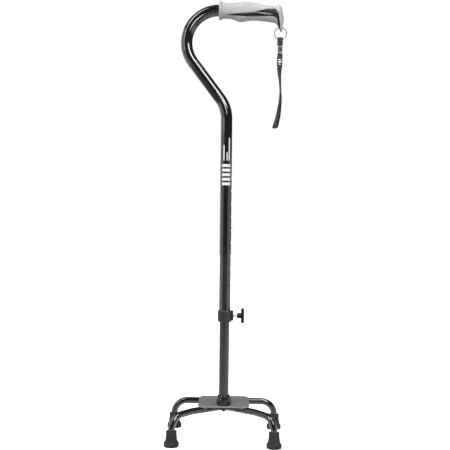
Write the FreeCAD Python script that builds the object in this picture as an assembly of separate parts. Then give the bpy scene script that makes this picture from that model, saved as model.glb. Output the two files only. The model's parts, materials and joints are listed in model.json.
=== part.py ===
import FreeCAD
import Part
import math
import os

# Quad walking cane. Millimetres, +Z up, origin on the floor under the shaft axis.
# +X is the way the grip points, +Y is away from the front pair of legs.

V = FreeCAD.Vector
X_AXIS = V(1, 0, 0)
Y_AXIS = V(0, 1, 0)
Z_AXIS = V(0, 0, 1)

# Shaft tubes: 7/8 inch upper over 3/4 inch lower
UPPER_R = 11.11
UPPER_BORE_R = 9.61
LOWER_R = 9.525
LOWER_BORE_R = 8.025
LOWER_BOTTOM_Z = 66.05
LOWER_TOP_Z = 436.0
UPPER_BOTTOM_Z = 229.0

# Height adjustment: holes one inch apart on the +X side
HOLE_PITCH = 25.4
HOLES_BELOW = 5
HOLES_ABOVE = 4
HOLE_R = 3.3
BUTTON_Z = 404.0
BUTTON_R = 3.1
BUTTON_TIP_X = 13.5

# Gooseneck
NECK_R = 63.0
NECK_FOOT_R = 65.5
NECK_TOP_Z = 831.0
NECK_CORNER_Z = 642.2
NECK_SLANT_DEG = 37.25
TUBE_END_X = 54.0
SLEEVE_R = 12.6
SLEEVE_LEFT_X = -8.0
SLEEVE_RIGHT_X = 57.0

# Grip flange
FLANGE_R = 18.5
FLANGE_LEFT_X = -17.0
FLANGE_THICK = 6.0

# Wrist strap and its ring
RING_CENTRE = (103.0, 786.6)
RING_MEAN_R = 11.9
RING_WIRE = 1.9
RING_TURN = 1.1
EYE_Z = 798.1
EYE_R = 2.3
WEB_WIDTH = 10.5
WEB_THICK = 1.6
TAB_X = 102.4
TAB_EYE_Z = 775.4
TAB_EYE_R = 2.3
KEEPER_X = 102.6
KEEPER_TOP_Z = 762.0
KEEPER_BOTTOM_Z = 748.0
KEEPER_W = 8.6
KEEPER_D = 6.4
KEEPER_LIP = 0.45
KEEPER_LIP_Z = 1.2
NECK_W = 7.0
NECK_T = 3.8

# Collar, clamp screw and knob
COLLAR_BOTTOM_Z = 225.0
COLLAR_TOP_Z = 247.0
COLLAR_R = 13.4
SCREW_Z = 236.6
BOSS_END_X = 17.3
NUT_X = 12.65
NUT_THICK = 3.2
NUT_SIZE = 10.0
SCREW_R = 2.95
PAD_R = 3.9
PAD_FACE_X = 9.56
PAD_BACK_X = 11.1
KNOB_HUB_X = 24.3
KNOB_BAR_X = 32.0
KNOB_END_X = 38.2
KNOB_BAR_LENGTH = 29.0

# Base plate and hub
PLATE_TOP_Z = 63.0
PLATE_THICK = 2.5
PLATE_HALF_X = 50.0
PLATE_FRONT_Y = -17.0
PLATE_BACK_Y = 70.0
PLATE_CORNER = (7.0, 10.0)
HUB_BORE_R = 9.6
HUB_FLUTES = 18

# Legs: 1/2 inch tube
LEG_R = 6.35
LEG_WALL = 1.5
LEG_BEND_R = 25.5
LEG_BOTTOM_Z = 8.0
LEG_AXIS_Z = PLATE_TOP_Z - PLATE_THICK - LEG_R
REAR_FOOT = (101.0, 65.0)
FRONT_FOOT = (96.0, -65.0)
FRONT_ELBOW = (60.0, -21.0)
FRONT_VERTEX_Y = 19.0

# Rubber tips
TIP_HEIGHT = 28.6
TIP_FOOT_R = 14.3
TIP_NECK_R = 9.8
TIP_WASHER_T = 1.5

# Bolt through the hub
BOLT_R = 4.0
BOLT_HEAD_R = 6.5
PLUG_FLOOR_Z = 72.05


def cylinder(radius, start, length, direction=Z_AXIS):
    return Part.makeCylinder(radius, length, V(*start), direction)


def box_between(low, high):
    size = [b - a for a, b in zip(low, high)]
    return Part.makeBox(size[0], size[1], size[2], V(*low))


def fuse_all(shapes):
    result = shapes[0].multiFuse(shapes[1:])
    return result.removeSplitter()


def revolved(profile, centre=(0.0, 0.0, 0.0)):
    """Turn a closed (radius, height) outline about the vertical through centre."""
    points = [V(r, 0, z) for r, z in profile]
    points.append(points[0])
    face = Part.Face(Part.makePolygon(points))
    solid = face.revolve(V(0, 0, 0), Z_AXIS, 360)
    solid.translate(V(*centre))
    return solid


def revolved_about_x(profile, axis_z):
    """Turn a closed (distance along X, radius) outline about the X axis at axis_z."""
    points = [V(x, 0, r) for x, r in profile]
    points.append(points[0])
    face = Part.Face(Part.makePolygon(points))
    solid = face.revolve(V(0, 0, 0), X_AXIS, 360)
    solid.translate(V(0, 0, axis_z))
    return solid


def filleted_path(points, radii):
    """Straight runs joined by tangent arcs. radii has one entry per inner point."""
    points = [V(*p) for p in points]
    edges = []
    start = points[0]
    for i, radius in enumerate(radii):
        before = points[i]
        corner = points[i + 1]
        after = points[i + 2]
        back = (before - corner).normalize()
        ahead = (after - corner).normalize()
        half = back.getAngle(ahead) / 2
        reach = radius / math.tan(half)
        arc_start = corner + back * reach
        arc_end = corner + ahead * reach
        middle = (back + ahead).normalize()
        arc_mid = corner + middle * (radius / math.sin(half) - radius)
        edges.append(Part.LineSegment(start, arc_start).toShape())
        edges.append(Part.Arc(arc_start, arc_mid, arc_end).toShape())
        start = arc_end
    edges.append(Part.LineSegment(start, points[-1]).toShape())
    return Part.Wire(edges)


def swept_rod(path, radius):
    start = path.Edges[0]
    origin = start.valueAt(start.FirstParameter)
    direction = start.tangentAt(start.FirstParameter)
    circle = Part.Wire(Part.makeCircle(radius, origin, direction))
    return path.makePipeShell([circle], True, False)


def swept_tube(path, radius, wall):
    outer = swept_rod(path, radius)
    return outer.cut(swept_rod(path, radius - wall))


# ---------------------------------------------------------------- shaft

def neck_path():
    run = (NECK_TOP_Z - NECK_CORNER_Z) * math.tan(math.radians(NECK_SLANT_DEG))
    corners = [(0, 0, UPPER_BOTTOM_Z), (0, 0, NECK_CORNER_Z),
               (-run, 0, NECK_TOP_Z), (TUBE_END_X, 0, NECK_TOP_Z)]
    return filleted_path(corners, [NECK_FOOT_R, NECK_R])


def upper_tube():
    tube = swept_tube(neck_path(), UPPER_R, UPPER_R - UPPER_BORE_R)
    for step in range(-HOLES_BELOW, HOLES_ABOVE + 1):
        tube = tube.cut(cylinder(HOLE_R, (0, 0, BUTTON_Z + step * HOLE_PITCH), 20, X_AXIS))
    return tube.cut(cylinder(PAD_R + 0.1, (0, 0, SCREW_Z), 20, X_AXIS))


def lower_tube():
    length = LOWER_TOP_Z - LOWER_BOTTOM_Z
    tube = cylinder(LOWER_R, (0, 0, LOWER_BOTTOM_Z), length)
    tube = tube.cut(cylinder(LOWER_BORE_R, (0, 0, LOWER_BOTTOM_Z), length))
    return tube.cut(cylinder(HOLE_R, (0, 0, BUTTON_Z), 20, X_AXIS))


def snap_button():
    """Button pin with its rolled head and the V shaped leaf spring behind it."""
    dome = BUTTON_TIP_X - 1.2
    pin = revolved_about_x([(6.4, 0), (BUTTON_TIP_X, 0), (BUTTON_TIP_X - 0.3, 1.5), (dome, 2.6),
                            (dome - 0.9, BUTTON_R), (6.9, BUTTON_R), (6.9, 3.9), (6.4, 3.9)], BUTTON_Z)
    front = [(6.4, -10.0), (6.4, 12.0), (0.6, 42.0), (-0.6, 44.0), (-2.4, 42.0), (-7.2, 10.0), (-7.2, -14.0)]
    back = [(-6.6, -14.0), (-6.6, 9.8), (-1.8, 41.4), (-0.6, 43.2), (0.0, 41.6), (5.8, 11.8), (5.8, -10.0)]
    outline = [V(x, -3.5, BUTTON_Z - z) for x, z in front + back]
    outline.append(outline[0])
    leaf = Part.Face(Part.makePolygon(outline)).extrude(V(0, 7.0, 0))
    return fuse_all([pin, leaf])


def tube_plug():
    """Cup pressed into the foot of the lower tube. The hub bolt's head sits inside it."""
    plug = revolved([(BOLT_R + 0.05, LOWER_BOTTOM_Z), (LOWER_BORE_R, LOWER_BOTTOM_Z),
                     (LOWER_BORE_R, 88.0), (7.0, 88.0), (7.0, PLUG_FLOOR_Z), (BOLT_R + 0.05, PLUG_FLOOR_Z)])
    return plug


# ---------------------------------------------------------------- grip

# Each station: centre x, centre z, half height, half width, lean of the section in degrees
GRIP_STATIONS = [
    (-11.5, 830.6, 15.6, 15.6, 0), (-4.0, 830.4, 14.9, 15.0, 0), (5.0, 830.2, 14.9, 15.2, 0),
    (14.0, 829.2, 16.4, 15.5, 0), (23.0, 827.9, 18.4, 15.8, 0), (37.0, 828.9, 17.9, 16.0, 0),
    (52.0, 829.0, 16.8, 16.0, 0), (66.0, 826.9, 15.6, 15.9, 0), (78.0, 825.2, 15.0, 15.6, 3),
    (89.0, 824.4, 16.0, 15.0, 11), (96.4, 824.4, 17.4, 14.2, 18.4), (100.1, 817.8, 13.0, 12.2, 30.5),
    (102.2, 810.9, 9.1, 10.0, 48), (102.9, 804.2, 5.9, 8.0, 66), (103.4, 798.8, 4.1, 6.2, 86),
    (104.0, 794.1, 2.9, 4.4, 96), (104.5, 790.6, 1.6, 2.6, 100),
]

# Side view of the rigid core where it shows through the soft cover
INLAY_OUTLINE = [
    (-3.0, 820.8), (10.0, 821.6), (23.4, 822.7), (38.0, 825.0), (52.6, 825.9), (67.6, 829.0), (77.9, 831.6),
    (86.6, 833.1), (91.5, 832.2), (95.6, 828.4), (98.2, 822.7), (99.9, 815.3), (101.2, 805.6), (102.6, 796.0),
    (104.0, 788.0), (99.0, 792.0), (97.0, 798.0), (96.6, 803.0), (96.8, 808.0), (96.0, 811.4),
    (93.8, 814.6), (89.3, 816.8), (81.9, 817.4), (66.3, 817.1), (43.0, 816.6), (22.5, 817.4), (8.0, 818.9),
]


def grip_ring(station):
    """Closed ring of points, a little squarer than an ellipse."""
    x, z, half_height, half_width, lean = station
    tilt = math.radians(lean)
    points = []
    count = 28
    for i in range(count + 1):
        angle = 2 * math.pi * (i % count) / count
        c = math.cos(angle)
        s = math.sin(angle)
        across = half_width * math.copysign(abs(c) ** 0.85, c)
        up = half_height * math.copysign(abs(s) ** 0.85, s)
        points.append(V(x + up * math.sin(tilt), across, z + up * math.cos(tilt)))
    return points


def grip_shape():
    surface = Part.BSplineSurface()
    surface.interpolate([grip_ring(s) for s in GRIP_STATIONS])
    skin = surface.toShape()
    caps = [e for e in skin.Edges if e.isClosed()]
    faces = [skin] + [Part.Face(Part.Wire([e])) for e in caps]
    shell = Part.makeShell(faces)
    shell.sewShape()
    body = Part.makeSolid(shell)
    if body.Volume < 0:
        body.reverse()
    left = FLANGE_LEFT_X
    flange = revolved_about_x([(left, 0), (left, FLANGE_R - 1.5), (left + 1.5, FLANGE_R),
                               (left + FLANGE_THICK - 1.5, FLANGE_R), (left + FLANGE_THICK, FLANGE_R - 1.5),
                               (left + FLANGE_THICK + 3, 14.8), (left + FLANGE_THICK + 3, 0)], NECK_TOP_Z)
    return body.fuse(flange)


def inlay_prism():
    outline = [V(x, -30, z) for x, z in INLAY_OUTLINE]
    outline.append(outline[0])
    return Part.Face(Part.makePolygon(outline)).extrude(V(0, 60, 0))


def core_region():
    """Where the core may be: a sleeve round the end of the tube, and the inlay through from face to face."""
    sleeve = revolved_about_x([(SLEEVE_LEFT_X, 0), (SLEEVE_LEFT_X, SLEEVE_R),
                               (SLEEVE_RIGHT_X, SLEEVE_R), (SLEEVE_RIGHT_X, 0)], NECK_TOP_Z)
    return sleeve.fuse(inlay_prism())


def ring_eye():
    return cylinder(EYE_R, (85, 0, EYE_Z), 40, X_AXIS)


def grip_core(shape):
    core = shape.common(core_region())
    return core.cut(swept_rod(neck_path(), UPPER_R)).cut(ring_eye())


def grip_cover(shape):
    cover = shape.cut(core_region())
    return cover.cut(swept_rod(neck_path(), UPPER_R)).cut(ring_eye())


# ---------------------------------------------------------------- wrist strap

def split_ring():
    """Two flat turns of spring wire, offset across the split."""
    x, z = RING_CENTRE
    inner = RING_MEAN_R - RING_WIRE / 2
    outer = RING_MEAN_R + RING_WIRE / 2
    turns = []
    for side in (-1, 1):
        low = 0 if side > 0 else -RING_TURN
        turn = cylinder(outer, (x, low, z), RING_TURN, Y_AXIS)
        turn = turn.cut(cylinder(inner, (x, low, z), RING_TURN, Y_AXIS))
        rims = [e for e in turn.Edges if abs(e.BoundBox.YMin - side * RING_TURN) < 0.01]
        turn = turn.makeChamfer(0.25, rims)
        middle = x + side * 2.0
        gap = box_between((middle - 0.6, low + 0.02, z), (middle + 0.6, low + RING_TURN, z + 20))
        gap.rotate(V(x, 0, z), Y_AXIS, 62)
        turns.append(turn.cut(gap))
    return turns[0].fuse(turns[1])


def strap_tab():
    """Webbing folded round the ring, its two ends tucked into the keeper."""
    r = TAB_EYE_R + WEB_THICK
    z = TAB_EYE_Z
    half = WEB_WIDTH / 2
    low = KEEPER_TOP_Z + 1.5
    side = [V(TAB_X - half, -r, z), V(TAB_X - half, 0, z + r), V(TAB_X - half, r, z)]
    arc = Part.Arc(side[0], side[1], side[2]).toShape()
    right = Part.LineSegment(side[2], V(TAB_X - half, NECK_T / 2, low)).toShape()
    bottom = Part.LineSegment(V(TAB_X - half, NECK_T / 2, low), V(TAB_X - half, -NECK_T / 2, low)).toShape()
    left = Part.LineSegment(V(TAB_X - half, -NECK_T / 2, low), side[0]).toShape()
    fold = Part.Face(Part.Wire([arc, right, bottom, left])).extrude(V(WEB_WIDTH, 0, 0))
    fold = fold.cut(cylinder(TAB_EYE_R, (TAB_X - 20, 0, z), 40, X_AXIS))
    neck = box_between((KEEPER_X - NECK_W / 2, -NECK_T / 2, KEEPER_TOP_Z - 5),
                       (KEEPER_X + NECK_W / 2, NECK_T / 2, low))
    return fuse_all([fold, neck])


def rounded_block(half_x, half_y, low_z, high_z, corner, rim):
    block = box_between((KEEPER_X - half_x, -half_y, low_z), (KEEPER_X + half_x, half_y, high_z))
    upright = [e for e in block.Edges if abs(e.BoundBox.ZLength - (high_z - low_z)) < 0.01]
    block = block.makeFillet(corner, upright)
    return block.makeFillet(rim, [e for e in block.Edges if e.BoundBox.ZLength < 0.01])


def strap_keeper():
    """Moulded sleeve with a lip at each end. It grips the tab and both ends of the loop."""
    half_x = KEEPER_W / 2
    half_y = KEEPER_D / 2
    sleeve = rounded_block(half_x, half_y, KEEPER_BOTTOM_Z + 0.3, KEEPER_TOP_Z - 0.3, 1.8, 0.2)
    lips = []
    for low in (KEEPER_BOTTOM_Z, KEEPER_TOP_Z - KEEPER_LIP_Z):
        wide, deep = half_x + KEEPER_LIP, half_y + KEEPER_LIP
        lips.append(rounded_block(wide, deep, low, low + KEEPER_LIP_Z, 2.2, 0.4))
    sleeve = sleeve.multiFuse(lips).removeSplitter()
    slot = box_between((KEEPER_X - NECK_W / 2, -NECK_T / 2, KEEPER_BOTTOM_Z - 1),
                       (KEEPER_X + NECK_W / 2, NECK_T / 2, KEEPER_TOP_Z + 1))
    return sleeve.cut(slot)


# Each station down the hanging loop: centre x, z, half spread of the two layers, half the sideways
# slip between them, twist in degrees
STRAP_STATIONS = [
    (102.6, 747.0, 1.0, 0.0, 0), (102.3, 743.0, 1.5, 0.0, 0), (102.0, 737.0, 2.0, -0.2, 2),
    (101.9, 727.6, 2.1, -0.5, 8), (101.6, 716.0, 1.7, -1.2, 36), (102.0, 705.0, 1.3, -1.9, 56),
    (103.3, 694.0, 1.0, -2.1, 68), (103.7, 683.0, 0.95, -2.0, 82), (104.3, 672.0, 0.95, -1.8, 90),
    (104.2, 661.0, 1.1, -1.6, 97), (103.3, 650.0, 1.25, -1.4, 103), (102.0, 639.0, 1.6, -1.0, 110),
    (100.4, 628.0, 1.9, -0.4, 118), (98.0, 617.0, 2.1, 0.0, 126), (94.6, 605.0, 2.3, 0.0, 134),
]
STRAP_DROP = (-2.8, 0, -10)


def strap_section(centre, width_dir, thick_dir, width, thick):
    a = width_dir * (width / 2)
    b = thick_dir * (thick / 2)
    corners = [centre + a + b, centre - a + b, centre - a - b, centre + a - b]
    return Part.makePolygon(corners + [corners[0]])


def strap_layer(station, side):
    """Centre, width direction and outward direction of the front (1) or back (-1) layer."""
    x, z, spread, slip, twist = station
    turn = math.radians(twist)
    width_dir = V(math.cos(turn), math.sin(turn), 0)
    out_dir = V(math.sin(turn), -math.cos(turn), 0) * side
    centre = V(x, 0, z) + out_dir * spread + width_dir * (slip * side)
    return centre, width_dir, out_dir


def wrist_strap():
    """One webbing loop: down the front layer, round the bottom and up the back layer."""
    sections = []
    for side, stations in ((1, STRAP_STATIONS), (-1, STRAP_STATIONS[::-1])):
        for station in stations:
            width = NECK_W if station == STRAP_STATIONS[0] else WEB_WIDTH
            centre, width_dir, out_dir = strap_layer(station, side)
            sections.append(strap_section(centre, width_dir, out_dir, width, WEB_THICK))
        if side == 1:
            sections += strap_turn(STRAP_STATIONS[-1])
    loop = Part.makeLoft(sections, True, True)
    top = STRAP_STATIONS[0][1]
    half = NECK_W / 2
    ends = box_between((KEEPER_X - half, -NECK_T / 2, top), (KEEPER_X + half, NECK_T / 2, top + 8))
    return loop.fuse(ends)


def strap_turn(station):
    """Sections round the foot of the loop."""
    x, z, spread, slip, twist = station
    width_dir, layer_dir = strap_layer(station, 1)[1:]
    drop = V(*STRAP_DROP).normalize()
    sections = []
    for angle in range(30, 180, 30):
        turn = math.radians(angle)
        out = layer_dir * math.cos(turn) + drop * math.sin(turn)
        sections.append(strap_section(V(x, 0, z) + out * spread, width_dir, out, WEB_WIDTH, WEB_THICK))
    return sections


# ---------------------------------------------------------------- collar and clamp

def collar():
    body = revolved([(HUB_BORE_R, COLLAR_BOTTOM_Z), (COLLAR_R - 0.8, COLLAR_BOTTOM_Z),
                     (COLLAR_R, COLLAR_BOTTOM_Z + 1.2), (COLLAR_R, COLLAR_TOP_Z - 1.5),
                     (COLLAR_R - 1.0, COLLAR_TOP_Z), (UPPER_R, COLLAR_TOP_Z),
                     (UPPER_R, UPPER_BOTTOM_Z), (HUB_BORE_R, UPPER_BOTTOM_Z)])
    boss = box_between((5, -7.2, COLLAR_BOTTOM_Z + 2.6), (BOSS_END_X, 7.2, COLLAR_TOP_Z - 1.0))
    edges = [e for e in boss.Edges if e.BoundBox.XMin > BOSS_END_X - 0.01]
    boss = boss.makeFillet(1.5, edges)
    boss = boss.cut(cylinder(UPPER_R, (0, 0, UPPER_BOTTOM_Z), 40))
    boss = boss.cut(cylinder(HUB_BORE_R, (0, 0, COLLAR_BOTTOM_Z - 1), 40))
    shape = body.fuse(boss).removeSplitter()
    half = NUT_SIZE / 2
    slot = box_between((NUT_X, -20, SCREW_Z - half), (NUT_X + NUT_THICK, half, SCREW_Z + half))
    shape = shape.cut(slot)
    shape = shape.cut(cylinder(PAD_R + 0.1, (5, 0, SCREW_Z), NUT_X - 5, X_AXIS))
    return shape.cut(cylinder(3.2, (5, 0, SCREW_Z), 30, X_AXIS))


def clamp_nut():
    half = NUT_SIZE / 2
    nut = box_between((NUT_X, -half, SCREW_Z - half), (NUT_X + NUT_THICK, half, SCREW_Z + half))
    upright = [e for e in nut.Edges if e.BoundBox.XLength > NUT_THICK - 0.01]
    nut = nut.makeChamfer(0.6, upright)
    return nut.cut(cylinder(3.0, (0, 0, SCREW_Z), 40, X_AXIS))


def pressure_pad():
    pad = revolved_about_x([(PAD_FACE_X, 0), (PAD_FACE_X, PAD_R - 0.4), (PAD_FACE_X + 0.4, PAD_R),
                            (PAD_BACK_X, PAD_R), (PAD_BACK_X, 0)], SCREW_Z)
    return pad


def thumb_screw():
    end = KNOB_BAR_X
    return revolved_about_x([(PAD_BACK_X, 0), (PAD_BACK_X, SCREW_R - 0.5), (PAD_BACK_X + 0.5, SCREW_R),
                             (end, SCREW_R), (end, 0)], SCREW_Z)


def knob():
    """Moulded T shaped knob on the end of the clamp screw."""
    hub = revolved_about_x([(KNOB_HUB_X, 0), (KNOB_HUB_X, 4.6), (KNOB_HUB_X + 0.8, 5.4),
                            (KNOB_BAR_X + 1, 5.4), (KNOB_BAR_X + 1, 0)], SCREW_Z)
    half = KNOB_BAR_LENGTH / 2
    bar = box_between((KNOB_BAR_X, -4.2, SCREW_Z - half), (KNOB_END_X, 4.2, SCREW_Z + half))
    bar = bar.makeFillet(1.9, bar.Edges)
    shape = hub.fuse(bar).removeSplitter()
    return shape.cut(cylinder(SCREW_R, (KNOB_HUB_X - 1, 0, SCREW_Z), KNOB_BAR_X - KNOB_HUB_X + 1, X_AXIS))


# ---------------------------------------------------------------- base

def rear_leg_path():
    x, y = REAR_FOOT
    corners = [(-x, y, LEG_BOTTOM_Z), (-x, y, LEG_AXIS_Z), (x, y, LEG_AXIS_Z), (x, y, LEG_BOTTOM_Z)]
    return filleted_path(corners, [LEG_BEND_R, LEG_BEND_R])


def front_leg_path():
    x, y = FRONT_FOOT
    ex, ey = FRONT_ELBOW
    z = LEG_AXIS_Z
    corners = [(-x, y, LEG_BOTTOM_Z), (-x, y, z), (-ex, ey, z), (0, FRONT_VERTEX_Y, z),
               (ex, ey, z), (x, y, z),
               (x, y, LEG_BOTTOM_Z)]
    return filleted_path(corners, [LEG_BEND_R, 58.0, 26.0, 58.0, LEG_BEND_R])


def weld_seam(path, low, high):
    """Bead of weld that fills the corner between a leg tube and the plate above it."""
    plate_under = PLATE_TOP_Z - PLATE_THICK
    reach = box_between((low[0], low[1], plate_under - 3.2), (high[0], high[1], plate_under))
    return swept_rod(path, LEG_R + 2.0).common(reach).cut(swept_rod(path, LEG_R))


def base_plate():
    x = PLATE_HALF_X
    cx, cy = PLATE_CORNER
    outline = [(-x + cx, PLATE_FRONT_Y), (x - cx, PLATE_FRONT_Y), (x, PLATE_FRONT_Y + cy),
               (x, PLATE_BACK_Y - cy), (x - cx, PLATE_BACK_Y), (-x + cx, PLATE_BACK_Y),
               (-x, PLATE_BACK_Y - cy), (-x, PLATE_FRONT_Y + cy)]
    points = [V(px, py, PLATE_TOP_Z - PLATE_THICK) for px, py in outline]
    points.append(points[0])
    plate = Part.Face(Part.makePolygon(points)).extrude(V(0, 0, PLATE_THICK))
    rim = [e for e in plate.Edges if e.BoundBox.ZMin > PLATE_TOP_Z - 0.01]
    plate = plate.makeFillet(0.7, rim)
    seams = [weld_seam(rear_leg_path(), (-44, 50), (44, PLATE_BACK_Y - 0.5))]
    for side in (-1, 1):
        low = (min(side * 14, side * 38), -15)
        high = (max(side * 14, side * 38), 30)
        seams.append(weld_seam(front_leg_path(), low, high))
    plate = plate.fuse(seams[0]).fuse(seams[1]).fuse(seams[2])
    return plate.cut(cylinder(BOLT_R + 0.2, (0, 0, 40), 40))


def hub_socket():
    """Fluted casting that holds the foot of the shaft."""
    shape = revolved([(BOLT_R + 0.1, PLATE_TOP_Z), (13.0, PLATE_TOP_Z), (13.9, PLATE_TOP_Z + 2.5),
                      (14.2, PLATE_TOP_Z + 7), (13.8, PLATE_TOP_Z + 11.5), (12.6, PLATE_TOP_Z + 14.5),
                      (HUB_BORE_R, PLATE_TOP_Z + 14.5), (HUB_BORE_R, LOWER_BOTTOM_Z - 0.05),
                      (BOLT_R + 0.1, LOWER_BOTTOM_Z - 0.05)])
    for i in range(HUB_FLUTES):
        a = 2 * math.pi * i / HUB_FLUTES
        flute = cylinder(1.5, (14.9 * math.cos(a), 14.9 * math.sin(a), PLATE_TOP_Z + 1.2), 20)
        shape = shape.cut(flute)
    return shape


def hub_ring():
    """Locking ring above the hub, with finger lugs round its edge."""
    low = PLATE_TOP_Z + 14.5
    ring = revolved([(HUB_BORE_R + 0.02, low), (11.6, low), (12.0, low + 0.6), (12.0, low + 3.4),
                     (11.2, low + 4.4), (HUB_BORE_R + 0.02, low + 4.4)])
    lugs = []
    for i in range(6):
        a = 2 * math.pi * (i + 0.5) / 6
        lugs.append(cylinder(1.7, (11.4 * math.cos(a), 11.4 * math.sin(a), low), 3.2))
    ring = ring.multiFuse(lugs).removeSplitter()
    return ring.cut(cylinder(HUB_BORE_R + 0.02, (0, 0, low - 1), 10))


def hub_bolt():
    """Socket head bolt from inside the shaft down through hub and plate."""
    head = PLUG_FLOOR_Z + 0.05
    bolt = revolved([(0, 53.0), (BOLT_R - 0.6, 53.0), (BOLT_R, 53.6), (BOLT_R, head), (BOLT_HEAD_R, head),
                     (BOLT_HEAD_R, head + 7.2), (BOLT_HEAD_R - 0.6, head + 8), (0, head + 8)])
    return bolt.cut(hexagon(6.0, head + 4, 10))


def hexagon(across_flats, low, height):
    r = across_flats / math.sqrt(3)
    turns = [math.radians(60 * i) for i in range(7)]
    points = [V(r * math.cos(turn), r * math.sin(turn), low) for turn in turns]
    return Part.Face(Part.makePolygon(points)).extrude(V(0, 0, height))


def hub_washer():
    top = PLATE_TOP_Z - PLATE_THICK
    hole = BOLT_R + 0.2
    return revolved([(hole, top - 1.5), (7.8, top - 1.5), (8.0, top - 1.3), (8.0, top), (hole, top)])


def dome_nut():
    """Cap nut on the underside of the plate."""
    top = PLATE_TOP_Z - PLATE_THICK - 1.5
    nut = hexagon(13.0, top - 5, 5)
    bevel = revolved([(0, top - 5), (6.6, top - 5), (7.6, top - 4.2), (7.6, top - 0.8), (6.9, top), (0, top)])
    cap = Part.makeSphere(5.9, V(0, 0, top - 4.0)).common(box_between((-9, -9, 49), (9, 9, top - 4.0)))
    nut = nut.common(bevel).fuse(cap).removeSplitter()
    return nut.cut(cylinder(BOLT_R, (0, 0, 53.0), 20))


def rubber_tip(x, y):
    """Flared ferrule with a ringed tread. The leg tube stands on a washer inside it."""
    outline = [(0, 1.2), (3.2, 1.2), (3.2, 0), (6.2, 0), (6.2, 1.2), (7.8, 1.2), (7.8, 0), (10.4, 0),
               (10.4, 1.2), (11.6, 1.2), (11.6, 0), (TIP_FOOT_R - 0.4, 0), (TIP_FOOT_R, 0.6), (TIP_FOOT_R, 6.6),
               (TIP_FOOT_R - 0.8, 7.8), (12.2, 9.0), (11.2, 12.5), (10.5, 18.0), (10.0, 24.0),
               (TIP_NECK_R, 25.6), (TIP_NECK_R + 0.4, 26.2), (TIP_NECK_R + 0.4, TIP_HEIGHT - 0.8),
               (TIP_NECK_R - 0.2, TIP_HEIGHT), (LEG_R, TIP_HEIGHT),
               (LEG_R, LEG_BOTTOM_Z - TIP_WASHER_T), (0, LEG_BOTTOM_Z - TIP_WASHER_T)]
    return revolved(outline, (x, y, 0))


def tip_washers():
    """Steel washers in the bottoms of the four tips."""
    washers = []
    for x, y in foot_positions().values():
        low = LEG_BOTTOM_Z - TIP_WASHER_T
        section = [(2.2, low), (LEG_R, low), (LEG_R, LEG_BOTTOM_Z), (2.2, LEG_BOTTOM_Z)]
        washer = revolved(section, (x, y, 0))
        washers.append(washer)
    return Part.makeCompound(washers)


def foot_positions():
    fx, fy = FRONT_FOOT
    rx, ry = REAR_FOOT
    return {"tip_front_left": (-fx, fy), "tip_front_right": (fx, fy), "tip_rear_left": (-rx, ry),
            "tip_rear_right": (rx, ry)}


def main():
    os.makedirs("parts", exist_ok=True)
    grip = grip_shape()
    parts = {
        "upper_tube": upper_tube(),
        "lower_tube": lower_tube(),
        "snap_button": snap_button(),
        "tube_plug": tube_plug(),
        "grip_core": grip_core(grip),
        "grip_cover": grip_cover(grip),
        "split_ring": split_ring(),
        "strap_tab": strap_tab(),
        "strap_keeper": strap_keeper(),
        "wrist_strap": wrist_strap(),
        "collar": collar(),
        "clamp_nut": clamp_nut(),
        "pressure_pad": pressure_pad(),
        "thumb_screw": thumb_screw(),
        "knob": knob(),
        "base_plate": base_plate(),
        "hub_socket": hub_socket(),
        "hub_ring": hub_ring(),
        "hub_bolt": hub_bolt(),
        "hub_washer": hub_washer(),
        "dome_nut": dome_nut(),
        "rear_leg_tube": swept_tube(rear_leg_path(), LEG_R, LEG_WALL),
        "front_leg_tube": swept_tube(front_leg_path(), LEG_R, LEG_WALL),
        "tip_washers": tip_washers(),
    }
    for name, (x, y) in foot_positions().items():
        parts[name] = rubber_tip(x, y)
    for name, shape in parts.items():
        shape.exportStep(f"parts/{name}.step")


main()
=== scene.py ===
import json
import math

import bmesh
import bpy
from mathutils import Matrix, Vector


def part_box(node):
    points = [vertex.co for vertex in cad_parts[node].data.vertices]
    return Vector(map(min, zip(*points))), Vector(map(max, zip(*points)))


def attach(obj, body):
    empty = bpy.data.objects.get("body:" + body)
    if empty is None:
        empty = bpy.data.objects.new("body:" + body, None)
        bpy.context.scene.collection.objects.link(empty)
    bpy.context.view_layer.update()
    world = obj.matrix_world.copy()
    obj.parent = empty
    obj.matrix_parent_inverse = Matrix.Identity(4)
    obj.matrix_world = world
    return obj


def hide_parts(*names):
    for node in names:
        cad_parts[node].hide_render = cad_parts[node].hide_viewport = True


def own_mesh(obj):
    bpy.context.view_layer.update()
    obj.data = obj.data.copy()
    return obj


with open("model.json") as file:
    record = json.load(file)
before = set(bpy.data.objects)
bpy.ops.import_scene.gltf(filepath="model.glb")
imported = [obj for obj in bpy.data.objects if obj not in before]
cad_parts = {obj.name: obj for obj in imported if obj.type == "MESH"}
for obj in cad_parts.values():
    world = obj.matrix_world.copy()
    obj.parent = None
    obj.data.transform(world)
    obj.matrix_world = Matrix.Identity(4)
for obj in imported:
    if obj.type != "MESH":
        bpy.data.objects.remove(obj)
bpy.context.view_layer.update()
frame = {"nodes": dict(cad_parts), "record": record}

NODES = frame["nodes"]

# ---------------------------------------------------------------- camera

# Metres from the shaft, above the floor and sideways, then degrees, then lens millimetres
CAMERA_DISTANCE = 1.5
CAMERA_HEIGHT = 0.4445
CAMERA_SIDE = -0.0013
CAMERA_YAW = 1.114
CAMERA_PITCH = 0.157
CAMERA_ROLL = 0.611
CAMERA_LENS = 61.54
CAMERA_SENSOR = 36.0
CAMERA_SHIFT = -0.0311
CAMERA_CLIP = (0.05, 50)


def new_object(name, data):
    """Object with that data, linked into the scene."""
    obj = bpy.data.objects.new(name, data)
    bpy.context.scene.collection.objects.link(obj)
    return obj


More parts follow.
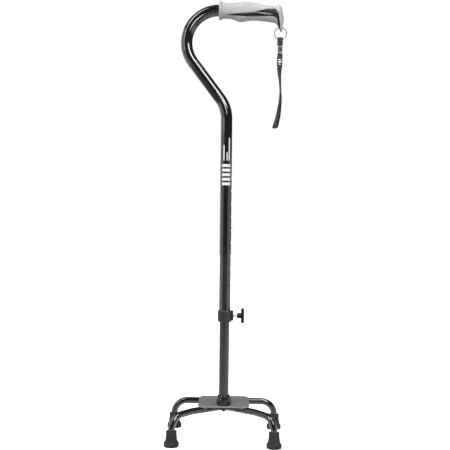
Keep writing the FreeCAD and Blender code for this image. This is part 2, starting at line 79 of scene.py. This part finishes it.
def add_camera():
    """Level with the middle of the shaft, square to the plane of the gooseneck."""
    yaw, pitch, roll = (math.radians(a) for a in (CAMERA_YAW, CAMERA_PITCH, CAMERA_ROLL))
    level = math.cos(pitch)
    forward = Vector((-math.sin(yaw) * level, math.cos(yaw) * level, -math.sin(pitch)))
    right = Vector((math.cos(yaw), math.sin(yaw), 0))
    up = right.cross(forward)
    camera_x = right * math.cos(roll) + up * math.sin(roll)
    camera_y = up * math.cos(roll) - right * math.sin(roll)
    data = bpy.data.cameras.new("camera")
    data.lens = CAMERA_LENS
    data.sensor_width = CAMERA_SENSOR
    data.shift_y = CAMERA_SHIFT
    data.clip_start, data.clip_end = CAMERA_CLIP
    camera = new_object("camera", data)
    turn = Matrix((camera_x, camera_y, -forward)).transposed().to_4x4()
    stand = Vector((math.sin(yaw), -math.cos(yaw), 0)) * CAMERA_DISTANCE
    stand += Vector((0, 0, CAMERA_HEIGHT)) + right * CAMERA_SIDE
    camera.matrix_world = Matrix.Translation(stand) @ turn
    bpy.context.scene.camera = camera


# ---------------------------------------------------------------- node tools

# Goes before each finish's name, because the frame already holds materials named like the slots
LOOK = "look_"


def feed(tree, node, values):
    """Links each input to the socket given for it, or sets it to the plain value."""
    for key, value in values.items():
        if isinstance(value, bpy.types.NodeSocket):
            tree.links.new(value, node.inputs[key])
        else:
            node.inputs[key].default_value = value


def add(tree, kind, values=None, **settings):
    """New shader node. values feeds its inputs, settings are its own options."""
    node = tree.nodes.new(kind)
    for key, value in settings.items():
        setattr(node, key, value)
    feed(tree, node, values or {})
    return node


def place(tree, scale=(1, 1, 1)):
    """Position in the cane's own frame, in metres, stretched by scale."""
    coords = add(tree, "ShaderNodeTexCoord")
    mapping = add(tree, "ShaderNodeMapping", {"Vector": coords.outputs["Object"], "Scale": scale})
    return mapping.outputs["Vector"]


def position(tree, axis):
    """X, Y or Z in the cane's own frame at rest, in metres."""
    coords = add(tree, "ShaderNodeTexCoord")
    return add(tree, "ShaderNodeSeparateXYZ", {"Vector": coords.outputs["Object"]}).outputs[axis]


def noise(tree, scale, detail, rough, stretch=(1, 1, 1)):
    """Cloudy noise from 0 to 1, with that many features to the metre."""
    values = {"Vector": place(tree, stretch), "Scale": scale, "Detail": detail, "Roughness": rough}
    return add(tree, "ShaderNodeTexNoise", values).outputs["Fac"]


def cells(tree, scale):
    """Distance from the middle of the nearest cell."""
    values = {"Vector": place(tree), "Scale": scale}
    return add(tree, "ShaderNodeTexVoronoi", values, feature="F1").outputs["Distance"]


def spread(tree, value, low, high, out_low=0.0, out_high=1.0):
    """Maps low..high to out_low..out_high and holds it there."""
    values = {"Value": value, "From Min": low, "From Max": high,
              "To Min": out_low, "To Max": out_high}
    return add(tree, "ShaderNodeMapRange", values, clamp=True).outputs["Result"]


def maths(tree, operation, a, b=0.0):
    node = add(tree, "ShaderNodeMath", {0: a, 1: b}, operation=operation)
    return node.outputs["Value"]


def mixed(tree, factor, a, b):
    """Colour a where factor is 0, colour b where it is 1."""
    a, b = (end if isinstance(end, bpy.types.NodeSocket) else (*end, 1.0) for end in (a, b))
    # A Mix node has its colour inputs in places 6 and 7, and its colour output in place 2
    return add(tree, "ShaderNodeMix", {0: factor, 6: a, 7: b}, data_type="RGBA").outputs[2]


def bump(tree, height, depth, before=None):
    """Bump of that depth in metres, on top of another bump if given."""
    values = {"Height": height, "Strength": 1.0, "Distance": depth}
    if before is not None:
        values["Normal"] = before
    return add(tree, "ShaderNodeBump", values).outputs["Normal"]


def begin(name):
    """Node tree of a new material."""
    material = bpy.data.materials.new(LOOK + name)
    material.use_nodes = True
    return material.node_tree


def finish(name, colour, roughness, normal=None, specular=0.5, **more):
    """Fills the Principled shader of a tree begun by begin() and gives back its material."""
    material = bpy.data.materials[LOOK + name]
    inputs = {"Base Color": colour, "Roughness": roughness, "Specular IOR Level": specular, **more}
    if normal is not None:
        inputs["Normal"] = normal
    feed(material.node_tree, material.node_tree.nodes["Principled BSDF"], inputs)
    return material


# ---------------------------------------------------------------- finishes

# Colours are linear, noise scales are per metre and bump depths are in metres

def gloss_paint(name, dark, light, rough):
    """Stoved gloss paint with a faint orange peel and soft rubbed patches."""
    tree = begin(name)
    rubbed = noise(tree, 45, 5, 0.6)
    colour = mixed(tree, spread(tree, rubbed, 0.35, 0.75), dark, light)
    roughness = spread(tree, noise(tree, 28, 4, 0.55), 0.3, 0.7, rough - 0.03, rough + 0.05)
    peel = bump(tree, noise(tree, 160, 2, 0.4), 0.000004)
    return finish(name, colour, roughness, peel)


def anodised_tube(name):
    """Drawn and anodised tube: fine lines run along it."""
    tree = begin(name)
    lines = noise(tree, 900, 3, 0.6, (1, 1, 0.012))
    cloud = noise(tree, 30, 4, 0.6)
    tint = spread(tree, cloud, 0.3, 0.7)
    colour = mixed(tree, tint, (0.008, 0.008, 0.009), (0.012, 0.012, 0.013))
    roughness = spread(tree, lines, 0.3, 0.7, 0.32, 0.44)
    return finish(name, colour, roughness, bump(tree, lines, 0.000010))


def satin_paint(name):
    """Satin grey paint over pressed steel."""
    tree = begin(name)
    grain = noise(tree, 1500, 2, 0.6)
    cloud = noise(tree, 40, 5, 0.65)
    tint = spread(tree, cloud, 0.3, 0.72)
    colour = mixed(tree, tint, (0.180, 0.180, 0.183), (0.228, 0.228, 0.231))
    roughness = spread(tree, cloud, 0.3, 0.7, 0.44, 0.56)
    return finish(name, colour, roughness, bump(tree, grain, 0.000018))


def cast_enamel(name):
    """Casting with a semi gloss coat that keeps the grain of the mould."""
    tree = begin(name)
    grain = noise(tree, 420, 3, 0.6)
    cloud = noise(tree, 90, 4, 0.6)
    tint = spread(tree, cloud, 0.3, 0.75)
    colour = mixed(tree, tint, (0.006, 0.006, 0.007), (0.013, 0.013, 0.014))
    roughness = spread(tree, cloud, 0.3, 0.7, 0.09, 0.15)
    return finish(name, colour, roughness, bump(tree, grain, 0.00002), specular=0.28)


def soft_grip(name):
    """Light grey rubber, stippled at the flange with painted shade in its pits, and fading to a matt
    skin along the hand.
    """
    tree = begin(name)
    near_flange = spread(tree, position(tree, "X"), -0.006, 0.012, 1.0, 0.25)
    pits = spread(tree, cells(tree, 620), 0.05, 0.55)
    soot = spread(tree, noise(tree, 55, 5, 0.65), 0.42, 0.8)
    skin = mixed(tree, soot, (0.455, 0.451, 0.440), (0.400, 0.396, 0.386))
    # Painted shade: near the flange the stipple's pits are darkened towards their middles
    pit_shade = maths(tree, "MULTIPLY", maths(tree, "SUBTRACT", 1.0, pits), near_flange)
    colour = mixed(tree, maths(tree, "MULTIPLY", pit_shade, 0.6), skin, (0.30, 0.297, 0.290))
    stipple = bump(tree, maths(tree, "MULTIPLY", pits, near_flange), 0.00016)
    normal = bump(tree, noise(tree, 2100, 2, 0.6), 0.00002, stipple)
    roughness = spread(tree, soot, 0, 1, 0.62, 0.74)
    sheen = {"Sheen Weight": 0.08, "Sheen Roughness": 0.5}
    return finish(name, colour, roughness, normal, specular=0.35, **sheen)


def moulded_gloss(name, dark, light, rough):
    """Gloss moulded plastic with faint flow marks."""
    tree = begin(name)
    flow = noise(tree, 60, 4, 0.55, (0.4, 1, 1))
    colour = mixed(tree, spread(tree, flow, 0.35, 0.7), dark, light)
    roughness = spread(tree, noise(tree, 130, 4, 0.6), 0.3, 0.7, rough, rough + 0.10)
    normal = bump(tree, noise(tree, 300, 2, 0.5), 0.000004)
    return finish(name, colour, roughness, normal, specular=0.32)


def gloss_with_painted_rims(name, dark, light, rim_highlight, low, high, highlight_band):
    """Gloss moulding whose lips, at both ends of its height, carry a painted pale highlight."""
    tree = begin(name)
    z = position(tree, "Z")
    top = maths(tree, "GREATER_THAN", z, high - highlight_band)
    foot = maths(tree, "LESS_THAN", z, low + highlight_band)
    body = mixed(tree, spread(tree, noise(tree, 180, 4, 0.55), 0.35, 0.7), dark, light)
    # Painted highlight: the pale rim colour goes on a band at each lip
    colour = mixed(tree, maths(tree, "MAXIMUM", top, foot), body, rim_highlight)
    roughness = spread(tree, noise(tree, 300, 4, 0.6), 0.3, 0.7, 0.16, 0.26)
    return finish(name, colour, roughness, bump(tree, noise(tree, 900, 2, 0.5), 0.000006))


def moulded_matt(name, dark, light, rough, depth, specular):
    """Matt moulded plastic with a spark eroded grain."""
    tree = begin(name)
    grain = noise(tree, 1300, 3, 0.65)
    cloud = noise(tree, 70, 4, 0.6)
    colour = mixed(tree, spread(tree, cloud, 0.3, 0.72), dark, light)
    roughness = spread(tree, grain, 0.3, 0.7, rough - 0.06, rough + 0.08)
    return finish(name, colour, roughness, bump(tree, grain, depth), specular)


def tip_rubber(name):
    """Moulded rubber with dust in its grain and scuffs round the foot."""
    tree = begin(name)
    grain = noise(tree, 900, 3, 0.65)
    dust = spread(tree, noise(tree, 75, 6, 0.7), 0.45, 0.8)
    colour = mixed(tree, dust, (0.019, 0.019, 0.020), (0.040, 0.040, 0.041))
    low = spread(tree, position(tree, "Z"), 0.001, 0.009, 1.0, 0.0)
    scuff = maths(tree, "MULTIPLY", low, spread(tree, noise(tree, 320, 5, 0.75), 0.48, 0.66))
    colour = mixed(tree, maths(tree, "MULTIPLY", scuff, 0.5), colour, (0.095, 0.093, 0.090))
    roughness = spread(tree, grain, 0.3, 0.7, 0.58, 0.76)
    normal = bump(tree, grain, 0.00006, bump(tree, dust, 0.00004))
    return finish(name, colour, roughness, normal, specular=0.15)


def metal(name, dark, light, rough, along=(1, 1, 1)):
    """Plated or bare metal with fine lines left by its making. along under 1 draws them out."""
    tree = begin(name)
    scratches = noise(tree, 1200, 4, 0.65, along)
    cloud = noise(tree, 160, 4, 0.6)
    colour = mixed(tree, spread(tree, cloud, 0.3, 0.75), dark, light)
    roughness = spread(tree, scratches, 0.3, 0.7, rough - 0.05, rough + 0.10)
    return finish(name, colour, roughness, bump(tree, scratches, 0.000006), Metallic=1.0)


WARP_PITCH = 0.00075
WEFT_PITCH = 0.0006


def webbing(name):
    """Woven black webbing. Its weave follows the strap's own map: U across, V along, in metres."""
    tree = begin(name)
    uv = add(tree, "ShaderNodeUVMap", uv_map="weave").outputs["UV"]
    parts = add(tree, "ShaderNodeSeparateXYZ", {"Vector": uv})
    across, along = parts.outputs["X"], parts.outputs["Y"]
    warp = maths(tree, "SINE", maths(tree, "MULTIPLY", across, 2 * math.pi / WARP_PITCH))
    weft = maths(tree, "SINE", maths(tree, "MULTIPLY", along, 2 * math.pi / WEFT_PITCH))
    weave = spread(tree, maths(tree, "MULTIPLY", warp, weft), -1, 1)
    fuzz = noise(tree, 3000, 4, 0.7)
    nap = maths(tree, "MULTIPLY", fuzz, 0.5)
    tone = maths(tree, "ADD", maths(tree, "MULTIPLY", weave, 0.6), nap)
    tint = spread(tree, tone, 0.2, 0.95)
    colour = mixed(tree, tint, (0.010, 0.010, 0.011), (0.046, 0.046, 0.048))
    normal = bump(tree, fuzz, 0.00004, bump(tree, weave, 0.00010))
    sheen = {"Sheen Weight": 0.12, "Sheen Roughness": 0.4}
    return finish(name, colour, 0.78, normal, specular=0.25, **sheen)


def white_print(name):
    """Screen printed ink, a little worn."""
    tree = begin(name)
    wear = noise(tree, 1500, 5, 0.7)
    colour = mixed(tree, spread(tree, wear, 0.55, 0.75), (0.86, 0.86, 0.85), (0.60, 0.60, 0.59))
    return finish(name, colour, 0.42, bump(tree, wear, 0.00001))


# Height of the painted highlight band at each lip of the keeper
KEEPER_HIGHLIGHT_BAND = 0.0013

# Each material slot, and the white ink: how it is made, and with what after its name
RECIPES = {
    "tube_black": (gloss_paint, (0.006, 0.006, 0.007), (0.011, 0.011, 0.013), 0.08),
    "tube_satin": (anodised_tube,),
    "leg_black": (gloss_paint, (0.006, 0.006, 0.007), (0.011, 0.011, 0.012), 0.07),
    "plate_grey": (satin_paint,),
    "hub_black": (cast_enamel,),
    "grip_grey": (soft_grip,),
    "core_black": (moulded_gloss, (0.006, 0.006, 0.008), (0.012, 0.012, 0.015), 0.15),
    "ring_chrome": (metal, (0.30, 0.30, 0.305), (0.40, 0.40, 0.405), 0.20),
    "webbing": (webbing,),
    # The keeper's pale lips are a painted highlight
    "keeper_black": (gloss_with_painted_rims, (0.014, 0.016, 0.024), (0.026, 0.029, 0.042), (0.50, 0.51, 0.54),
                     *(corner.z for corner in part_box("strap_keeper")), KEEPER_HIGHLIGHT_BAND),
    "collar_black": (moulded_matt, (0.008, 0.008, 0.009), (0.014, 0.014, 0.015), 0.5, 0.00005, 0.34),
    "knob_black": (moulded_matt, (0.003, 0.003, 0.004), (0.007, 0.007, 0.008), 0.34, 0.00003, 0.2),
    "black_oxide": (metal, (0.020, 0.020, 0.022), (0.036, 0.036, 0.038), 0.36),
    "zinc": (metal, (0.33, 0.37, 0.41), (0.43, 0.47, 0.50), 0.32, (0.05, 1, 1)),
    "pad_brass": (metal, (0.60, 0.45, 0.20), (0.72, 0.57, 0.28), 0.34),
    "spring_steel": (metal, (0.48, 0.48, 0.49), (0.60, 0.60, 0.61), 0.28),
    "plug_black": (moulded_matt, (0.012, 0.012, 0.013), (0.020, 0.020, 0.021), 0.6, 0.00005, 0.5),
    "tip_rubber": (tip_rubber,),
    "white_print": (white_print,),
}


def make_finishes():
    return {name: make(name, *values) for name, (make, *values) in RECIPES.items()}


def dress_cad_nodes(finishes):
    """Puts on each CAD piece the finish of its material slot."""
    for part in frame["record"]["subparts"]:
        mesh = NODES[part["node"]].data
        mesh.materials.clear()
        mesh.materials.append(finishes[part["material_slot"]])


# ---------------------------------------------------------------- webbing shapes

WEB_WIDTH = 0.0105
WEB_THICK = 0.0016
GATHERED_WIDTH = 0.0068
# The weave's ribs run across the strap at a slant: one pitch along for RIB_SLANT pitches across
RIB_PITCH = 0.0011
RIB_SLANT = 2.2
RIB_DEPTH = 0.00009
# The strap's section: points on each face, how square it is, and its thickness at the selvedge
PROFILE_STEPS = 10
PROFILE_POWER = 5
SELVEDGE_SHARE = 0.30


def smooth_line(name, points, steps):
    """Points read along the NURBS spline with these control points, steps for each of them."""
    curve = bpy.data.curves.new(name, "CURVE")
    curve.dimensions = "3D"
    curve.resolution_u = steps
    spline = curve.splines.new("NURBS")
    spline.points.add(len(points) - 1)
    for point, place_of in zip(spline.points, points):
        point.co = (*place_of, 1.0)
    spline.order_u = 3
    spline.use_endpoint_u = True
    line = new_object(name, curve)
    bpy.context.view_layer.update()
    mesh = bpy.data.meshes.new_from_object(line)
    read = [v.co.copy() for v in mesh.vertices]
    bpy.data.objects.remove(line)
    bpy.data.meshes.remove(mesh)
    return read


def lengths_along(line):
    """Distance along the line at each of its points."""
    total = [0.0]
    for a, b in zip(line, line[1:]):
        total.append(total[-1] + (b - a).length)
    return total


def ribbon_frames(line, edge):
    """Centre, width direction, outward direction and distance along, at each point."""
    frames = []
    along = lengths_along(line)
    last = len(line) - 1
    for i, centre in enumerate(line):
        tangent = (line[min(i + 1, last)] - line[max(i - 1, 0)]).normalized()
        width = edge[i] - centre
        width = (width - tangent * width.dot(tangent)).normalized()
        frames.append((centre, width, width.cross(tangent), along[i]))
    return frames


def web_profile(half_width, half_thick):
    """Rounded cross section, over one face and back over the other: (across, out) pairs."""
    points = []
    for side in (1, -1):
        for i in range(PROFILE_STEPS + 1):
            share = 1 - 2 * i / PROFILE_STEPS
            rounding = math.sqrt(max(0.0, 1 - abs(share) ** PROFILE_POWER))
            height = half_thick * (SELVEDGE_SHARE + (1 - SELVEDGE_SHARE) * rounding)
            points.append((side * share * half_width, side * height))
    return points


def web_width(from_end, gather_start, gather_run):
    """Width at a distance from the end: gathered up to gather_start, full one gather_run later."""
    share = min(1.0, max(0.0, (from_end - gather_start) / gather_run))
    return GATHERED_WIDTH + (WEB_WIDTH - GATHERED_WIDTH) * share * share * (3 - 2 * share)


def ribbon(name, frames, width_at, material, thick=WEB_THICK, out=0.0):
    """Closed strip of webbing along the frames, with the ribs of its weave raised across it.

    width_at gives its width at a distance along it, and out moves it along its outward direction.
    """
    mesh = bpy.data.meshes.new(name)
    bm = bmesh.new()
    weave = bm.loops.layers.uv.new("weave")
    rings = []
    marks = {}
    for centre, width_dir, out_dir, along in frames:
        half = width_at(along) / 2
        ring = []
        for across, height in web_profile(half, thick / 2):
            ribs = along / RIB_PITCH + abs(across) / (RIB_SLANT * RIB_PITCH)
            rise = math.copysign(RIB_DEPTH * math.sin(2 * math.pi * ribs), height)
            vert = bm.verts.new(centre + width_dir * across + out_dir * (height + rise + out))
            marks[vert] = (across, along)
            ring.append(vert)
        rings.append(ring)
    for a, b in zip(rings, rings[1:]):
        for i in range(len(a)):
            j = (i + 1) % len(a)
            bm.faces.new((a[i], a[j], b[j], b[i]))
    bm.faces.new(list(reversed(rings[0])))
    bm.faces.new(rings[-1])
    bmesh.ops.recalc_face_normals(bm, faces=bm.faces)
    for face in bm.faces:
        face.smooth = len(face.verts) == 4
        for loop in face.loops:
            loop[weave].uv = marks[loop.vert]
    bm.to_mesh(mesh)
    bm.free()
    mesh.materials.append(material)
    return new_object(name, mesh)


# ---------------------------------------------------------------- wrist strap

# Each station down the hanging loop: centre x, z, half spread of the two layers, half the sideways
# slip between them, twist in degrees
STRAP_STATIONS = [
    (0.1026, 0.7500, 0.0010, 0.0, 0), (0.1026, 0.7470, 0.0010, 0.0, 0),
    (0.1023, 0.7430, 0.0015, 0.0, 0),
    (0.1020, 0.7370, 0.0020, -0.0002, 2), (0.1019, 0.7276, 0.0021, -0.0005, 8),
    (0.1016, 0.7160, 0.0017, -0.0012, 36), (0.1020, 0.7050, 0.0013, -0.0019, 56),
    (0.1033, 0.6940, 0.0010, -0.0021, 68), (0.1037, 0.6830, 0.00095, -0.0020, 82),
    (0.1043, 0.6720, 0.00095, -0.0018, 90), (0.1042, 0.6610, 0.0011, -0.0016, 97),
    (0.1033, 0.6500, 0.00125, -0.0014, 103), (0.1020, 0.6390, 0.0016, -0.0010, 110),
    (0.1004, 0.6280, 0.0019, -0.0004, 118), (0.0980, 0.6170, 0.0021, 0.0, 126),
    (0.0946, 0.6050, 0.0023, 0.0, 134),
]
# The way the strap points at its fold
STRAP_DROP = Vector((-0.28, 0, -1)).normalized()
STRAP_STEPS = 26
STRAP_GATHER_RUN = 0.006
FOLD_STEP_DEG = 30


def strap_layer(station, side):
    """Centre, width direction and outward direction of the front (1) or back (-1) layer."""
    x, z, half_gap, slip, twist = station
    turn = math.radians(twist)
    width_dir = Vector((math.cos(turn), math.sin(turn), 0))
    out_dir = Vector((math.sin(turn), -math.cos(turn), 0)) * side
    centre = Vector((x, 0, z)) + out_dir * half_gap + width_dir * (slip * side)
    return centre, width_dir, out_dir


def strap_route():
    """Control points of the loop's middle and of one edge: down in front, round, up behind."""
    centres = []
    edges = []

    def put(centre, width_dir):
        centres.append(centre)
        edges.append(centre + width_dir * WEB_WIDTH / 2)

    for station in STRAP_STATIONS:
        put(*strap_layer(station, 1)[:2])
    x, z, half_gap = STRAP_STATIONS[-1][:3]
    width_dir, front = strap_layer(STRAP_STATIONS[-1], 1)[1:]
    for angle in range(FOLD_STEP_DEG, 180, FOLD_STEP_DEG):
        turn = math.radians(angle)
        out = front * math.cos(turn) + STRAP_DROP * math.sin(turn)
        put(Vector((x, 0, z)) + out * half_gap, width_dir)
    for station in reversed(STRAP_STATIONS):
        put(*strap_layer(station, -1)[:2])
    return centres, edges


def make_strap(finishes):
    """The hanging loop. Also gives back its centreline and its frames."""
    centres, edges = strap_route()
    line = smooth_line("strap_line", centres, STRAP_STEPS)
    edge = smooth_line("strap_edge", edges, STRAP_STEPS)
    frames = ribbon_frames(line, edge)
    total = frames[-1][3]

    def width_at(along):
        return web_width(min(along, total - along), 0.0, STRAP_GATHER_RUN)

    strap = ribbon("strap_loop", frames, width_at, finishes["webbing"])
    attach(strap, "strap")
    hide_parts("wrist_strap")
    return strap, line, frames


# The tab's bend over the ring, how far from its ends it is gathered, and over what length it widens
TAB_BEND = 0.0031
TAB_GATHER_START = 0.004
TAB_GATHER_RUN = 0.004
TAB_STEPS = 14


def make_tab(finishes):
    """Webbing folded over the split ring, its ends gathered into the keeper."""
    low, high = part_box("strap_tab")
    keeper_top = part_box("strap_keeper")[1].z
    x = (low.x + high.x) / 2
    eye_z = high.z - TAB_BEND - WEB_THICK / 2
    side = [(-0.0010, keeper_top - 0.0050), (-0.0010, keeper_top - 0.0010),
            (-0.0011, keeper_top + 0.0012), (-0.0022, keeper_top + 0.0060),
            (-0.0032, eye_z - 0.0012), (-TAB_BEND * 1.02, eye_z + 0.0012),
            (-TAB_BEND * 0.62, eye_z + TAB_BEND)]
    route = side + [(0.0, eye_z + TAB_BEND * 1.08)] + [(-y, z) for y, z in reversed(side)]
    centres = [Vector((x, y, z)) for y, z in route]
    edges = [c + Vector((WEB_WIDTH / 2, 0, 0)) for c in centres]
    line = smooth_line("tab_line", centres, TAB_STEPS)
    frames = ribbon_frames(line, smooth_line("tab_edge", edges, TAB_STEPS))
    total = frames[-1][3]

    def width_at(along):
        return web_width(min(along, total - along), TAB_GATHER_START, TAB_GATHER_RUN)

    tab = ribbon("tab_fold", frames, width_at, finishes["webbing"])
    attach(tab, "strap")
    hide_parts("strap_tab")
    return tab


# ---------------------------------------------------------------- snap button


def make_button(finishes):
    """The snap button: a copy of its CAD piece, in spring steel, on the button's body."""
    node = NODES["snap_button"]
    mesh = node.data.copy()
    mesh.transform(node.matrix_world)
    mesh.materials.clear()
    mesh.materials.append(finishes["spring_steel"])
    button = new_object("sprung_button", mesh)
    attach(button, "button")
    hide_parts("snap_button")
    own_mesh(button)


# ---------------------------------------------------------------- plain printed marks

TUBE_RADIUS = 0.011115
INK_LIFT = 0.00003
INK_THICK = 0.00006
INK_CORNER = 0.0009
# Share of the corner's rounding that is cut away, so that no bar ends in a point
INK_CORNER_CUT = 0.85
# Printed bars on the front of the upper tube: middle x, half width, bottom z, top z, in metres
LINE_BARS = [
    (-0.0042, 0.0010, 0.5375, 0.5690),
    (0.0020, 0.0009, 0.5375, 0.5550),
    (0.0060, 0.0011, 0.5375, 0.5830),
]
BLOCK_FOOT = 0.4905
BLOCK_PITCH = 0.0088
BLOCK_HEIGHT = 0.0054
BLOCK_FEET = [BLOCK_FOOT + BLOCK_PITCH * i for i in range(5)]
BLOCK_BARS = [(0.0004, 0.0078, foot, foot + BLOCK_HEIGHT) for foot in BLOCK_FEET]


def ink_row(radius, middle, reach, z, across):
    """Points round the tube's front at one height, from middle - reach to middle + reach in x."""
    row = []
    for i in range(across + 1):
        angle = math.asin((middle + reach * (2 * i / across - 1)) / TUBE_RADIUS)
        row.append((radius * math.sin(angle), -radius * math.cos(angle), z))
    return row


def ink_bar(bm, middle, half, low, high):
    """Round-cornered bar of ink wrapped on the tube, closed all round."""
    across, along = 8, 12
    half_height = (high - low) / 2
    corner = min(half, INK_CORNER, half_height)
    layers = []
    for lift in (INK_LIFT, INK_LIFT + INK_THICK):
        rows = []
        for j in range(along + 1):
            share = 1 - 2 * j / along
            from_end = (1 - abs(share)) * half_height
            inset = corner - math.sqrt(max(0.0, corner ** 2 - max(0.0, corner - from_end) ** 2))
            z = (low + high) / 2 - share * half_height
            row = ink_row(TUBE_RADIUS + lift, middle, half - inset * INK_CORNER_CUT, z, across)
            rows.append([bm.verts.new(point) for point in row])
        layers.append(rows)
    under, over = layers
    for j in range(along):
        for i in range(across):
            bm.faces.new((over[j][i], over[j][i + 1], over[j + 1][i + 1], over[j + 1][i]))
            bm.faces.new((under[j][i], under[j + 1][i], under[j + 1][i + 1], under[j][i + 1]))
        for i in (0, across):
            bm.faces.new((over[j][i], over[j + 1][i], under[j + 1][i], under[j][i]))
    for j in (0, along):
        for i in range(across):
            bm.faces.new((over[j][i], under[j][i], under[j][i + 1], over[j][i + 1]))


def make_tube_print(finishes):
    """Plain bars in place of the printing on the upper tube."""
    mesh = bpy.data.meshes.new("tube_print")
    bm = bmesh.new()
    for bar in LINE_BARS + BLOCK_BARS:
        ink_bar(bm, *bar)
    bmesh.ops.recalc_face_normals(bm, faces=bm.faces)
    bm.to_mesh(mesh)
    bm.free()
    mesh.materials.append(finishes["white_print"])
    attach(new_object("tube_print", mesh), "upper")


# Printed bars across the front of the strap: start along it, length, width, in metres
STRAP_BARS = [(0.0135, 0.0022, 0.0052), (0.0172, 0.0034, 0.0064), (0.0222, 0.0022, 0.0040)]
STRAP_INK_THICK = 0.0003


def make_strap_print(finishes, frames):
    """Plain bars in place of the mark on the strap."""
    marks = []
    for number, (start, length, width) in enumerate(STRAP_BARS):
        span = [f for f in frames if start <= f[3] <= start + length]
        mark = ribbon("strap_mark_%d" % number, span, lambda along: width, finishes["white_print"],
                      thick=STRAP_INK_THICK, out=-WEB_THICK / 2)
        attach(mark, "strap")
        marks.append(mark)
    return marks


# ---------------------------------------------------------------- stage

FLOOR_RADIUS = 6
FLOOR_GLOW = 0.90
# Bright part of the floor in reflections: its glow, the glow past its edge, its middle, and how
# far from there the edge begins and ends
POOL_GLOW = 1.7
POOL_DIM = 0.1
POOL_CENTRE = (0.40, 0, 0)
POOL_EDGE = (0.50, 1.0)


def make_floor():
    """Pale floor that mostly glows white to the camera, so only the softest shadow shows on it.

    In reflections it glows too, bright only in a pool round and to the right of the cane.
    """
    tree = begin("floor_white")
    rays = add(tree, "ShaderNodeLightPath").outputs
    coords = add(tree, "ShaderNodeTexCoord")
    reach = add(tree, "ShaderNodeVectorMath", {0: coords.outputs["Object"], 1: POOL_CENTRE},
                operation="DISTANCE").outputs["Value"]
    pool = spread(tree, reach, *POOL_EDGE, POOL_GLOW, POOL_DIM)
    pool = maths(tree, "MULTIPLY", pool, rays["Is Glossy Ray"])
    glow = maths(tree, "MAXIMUM", maths(tree, "MULTIPLY", rays["Is Camera Ray"], FLOOR_GLOW), pool)
    cloud = mixed(tree, noise(tree, 3, 2, 0.5), (0.84, 0.84, 0.84), (0.87, 0.87, 0.87))
    colour = mixed(tree, rays["Is Camera Ray"], (0.45, 0.45, 0.45), cloud)
    emission = {"Emission Color": (1, 1, 1, 1), "Emission Strength": glow}
    white = finish("floor_white", colour, 0.85, specular=0.0, **emission)
    bpy.ops.mesh.primitive_circle_add(vertices=96, radius=FLOOR_RADIUS, fill_type="NGON",
                                      location=(0, 0, 0))
    floor = bpy.context.object
    floor.name = "floor"
    floor.data.materials.append(white)


# The white tent's brightness as light, and how it shows in reflections
TENT_LEVEL = 0.75
TENT_MIRRORED = 0.12
FILL_POWER = 1.7
FILL_SPREAD_DEG = 50
FILL_DIRECTION = (0.25, 1, -0.55)
# Softboxes: name, place, the point it faces, width and height in metres, brightness
GLINT_BOXES = [
    ("left_box", (-1.49, 0.13, 0.60), (0, 0, 0.55), (3.4, 2.2), 1.7),
    ("right_box", (1.50, -0.30, 0.20), (0, 0, 0.25), (2.4, 0.9), 1.6),
    ("key_box", (0.78, -1.20, 1.52), (-0.05, 0, 0.70), (0.70, 0.75), 24),
    ("short_box", (0.094, -0.60, 0.780), (-0.05, 0, 0.815), (0.09, 0.12), 30),
    ("left_strip", (-1.0, -0.70, 1.30), (0, 0, 0.1), (0.28, 1.5), 9),
    ("top_right_box", (0.42, -0.35, 1.9), (0, 0, 0.1), (0.9, 0.7), 16),
    ("top_left_box", (-0.80, -0.50, 1.9), (0, 0, 0.2), (0.6, 0.9), 6),
]


def studio_world():
    """White to the camera, an even pale tent for soft light, and dark cloth in reflections."""
    world = bpy.data.worlds.new("studio")
    world.use_nodes = True
    tree = world.node_tree
    rays = add(tree, "ShaderNodeLightPath").outputs
    lit = spread(tree, rays["Is Glossy Ray"], 0.0, 1.0, TENT_LEVEL, TENT_MIRRORED)
    level = maths(tree, "MAXIMUM", rays["Is Camera Ray"], lit)
    background = tree.nodes["Background"]
    background.inputs["Color"].default_value = (1, 1, 1, 1)
    tree.links.new(level, background.inputs["Strength"])
    bpy.context.scene.world = world


def point_along(lamp, direction):
    lamp.rotation_mode = "QUATERNION"
    lamp.rotation_quaternion = direction.to_track_quat("-Z", "Y")


def fill_sun():
    """Even light from the front that leaves no glint."""
    data = bpy.data.lights.new("fill", "SUN")
    data.energy = FILL_POWER
    data.angle = math.radians(FILL_SPREAD_DEG)
    lamp = new_object("fill", data)
    point_along(lamp, Vector(FILL_DIRECTION))
    lamp.visible_glossy = False


def glint_box(name, at, aim, size, brightness):
    """Softbox that lights nothing and shows only as its reflection in gloss surfaces."""
    data = bpy.data.lights.new(name, "AREA")
    data.shape = "RECTANGLE"
    data.size, data.size_y = size
    data.energy = brightness * math.pi * size[0] * size[1]
    lamp = new_object(name, data)
    lamp.location = at
    point_along(lamp, Vector(aim) - Vector(at))
    lamp.visible_camera = False
    lamp.visible_diffuse = False


def light_stage():
    bpy.context.scene.view_settings.view_transform = "Standard"
    studio_world()
    fill_sun()
    for box in GLINT_BOXES:
        glint_box(*box)


# ---------------------------------------------------------------- scene

add_camera()
finishes = make_finishes()
strap, strap_line, strap_frames = make_strap(finishes)
tab = make_tab(finishes)
marks = make_strap_print(finishes, strap_frames)
dress_cad_nodes(finishes)
make_button(finishes)
make_tube_print(finishes)
make_floor()
light_stage()
